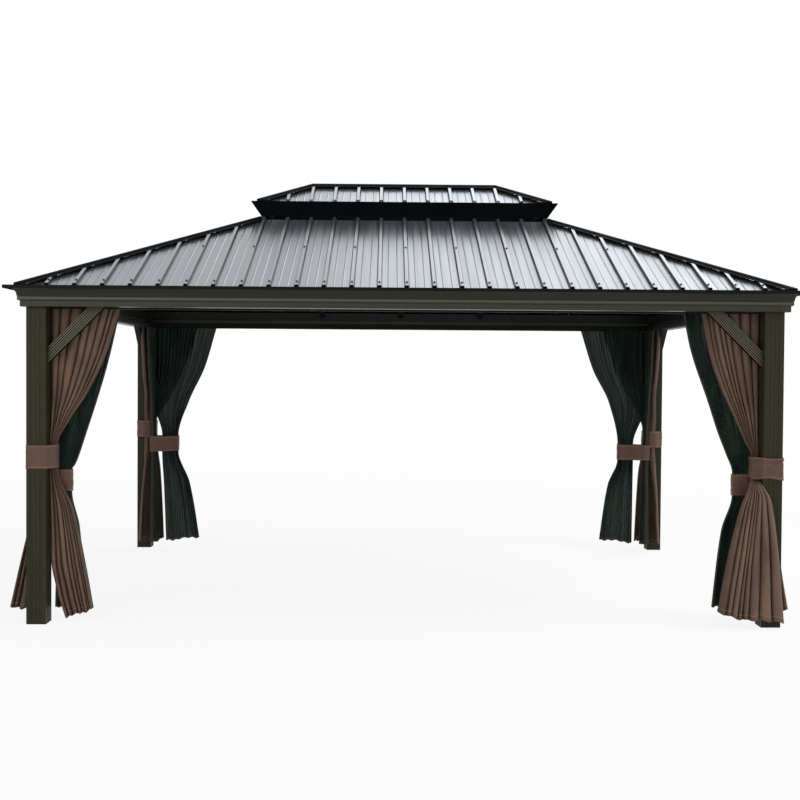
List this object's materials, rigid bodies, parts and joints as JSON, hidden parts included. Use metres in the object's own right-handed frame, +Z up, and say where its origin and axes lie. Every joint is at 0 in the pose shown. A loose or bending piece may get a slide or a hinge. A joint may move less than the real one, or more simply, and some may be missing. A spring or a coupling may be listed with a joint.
{
  "type": "hardtop garden gazebo with vent roof, curtains and nets",
  "caption": "open rectangular metal gazebo: posts with knee braces carry a moulded eave and a ribbed hip roof with a raised vent roof; curtains and nets tied back",
  "frame": {"origin": "on the ground under the middle of the gazebo", "axes": "+X along the long side to the right, +Y to the back, +Z up; the front faces -Y"},
  "size_m": [4.92, 3.5, 2.9786],
  "materials": {
    "frame_metal": "dark olive bronze powder coat, satin",
    "roof_metal": "charcoal coated steel sheet, semi gloss",
    "cap_metal": "near black coated steel, semi gloss",
    "inner_metal": "dark bronze powder coat, satin",
    "curtain_cloth": "brown woven polyester",
    "net_cloth": "black green mosquito netting",
    "band_cloth": "brown woven polyester, hemmed"
  },
  "bodies": {
    "root": {"post_front_left": "frame_metal", "post_front_right": "frame_metal", "post_back_left": "frame_metal", "post_back_right": "frame_metal", "post_feet": "inner_metal", "beam_front": "frame_metal", "beam_right": "frame_metal", "beam_back": "frame_metal", "beam_left": "frame_metal", "fascia_front": "frame_metal", "fascia_right": "frame_metal", "fascia_back": "frame_metal", "fascia_left": "frame_metal", "fascia_corners": "frame_metal", "braces_front_left": "frame_metal", "braces_front_right": "frame_metal", "braces_back_left": "frame_metal", "braces_back_right": "frame_metal", "roof_front": "roof_metal", "roof_right": "roof_metal", "roof_back": "roof_metal", "roof_left": "roof_metal", "top_roof_front": "roof_metal", "top_roof_right": "roof_metal", "top_roof_back": "roof_metal", "top_roof_left": "roof_metal", "eave_trim": "cap_metal", "hip_caps": "cap_metal", "top_hip_caps": "cap_metal", "ridge_cap": "cap_metal", "top_skirt": "cap_metal", "hip_rafters": "inner_metal", "rafters": "inner_metal", "purlins": "inner_metal", "vent_ring": "inner_metal", "top_frame": "inner_metal", "curtain_tracks": "inner_metal", "curtain_front_left": "curtain_cloth", "curtain_front_right": "curtain_cloth", "curtain_back_left": "curtain_cloth", "curtain_back_right": "curtain_cloth", "net_front_left": "net_cloth", "net_front_right": "net_cloth", "net_back_left": "net_cloth", "net_back_right": "net_cloth", "tie_bands": "band_cloth", "net_bands": "band_cloth"}
  },
  "joints": []
}
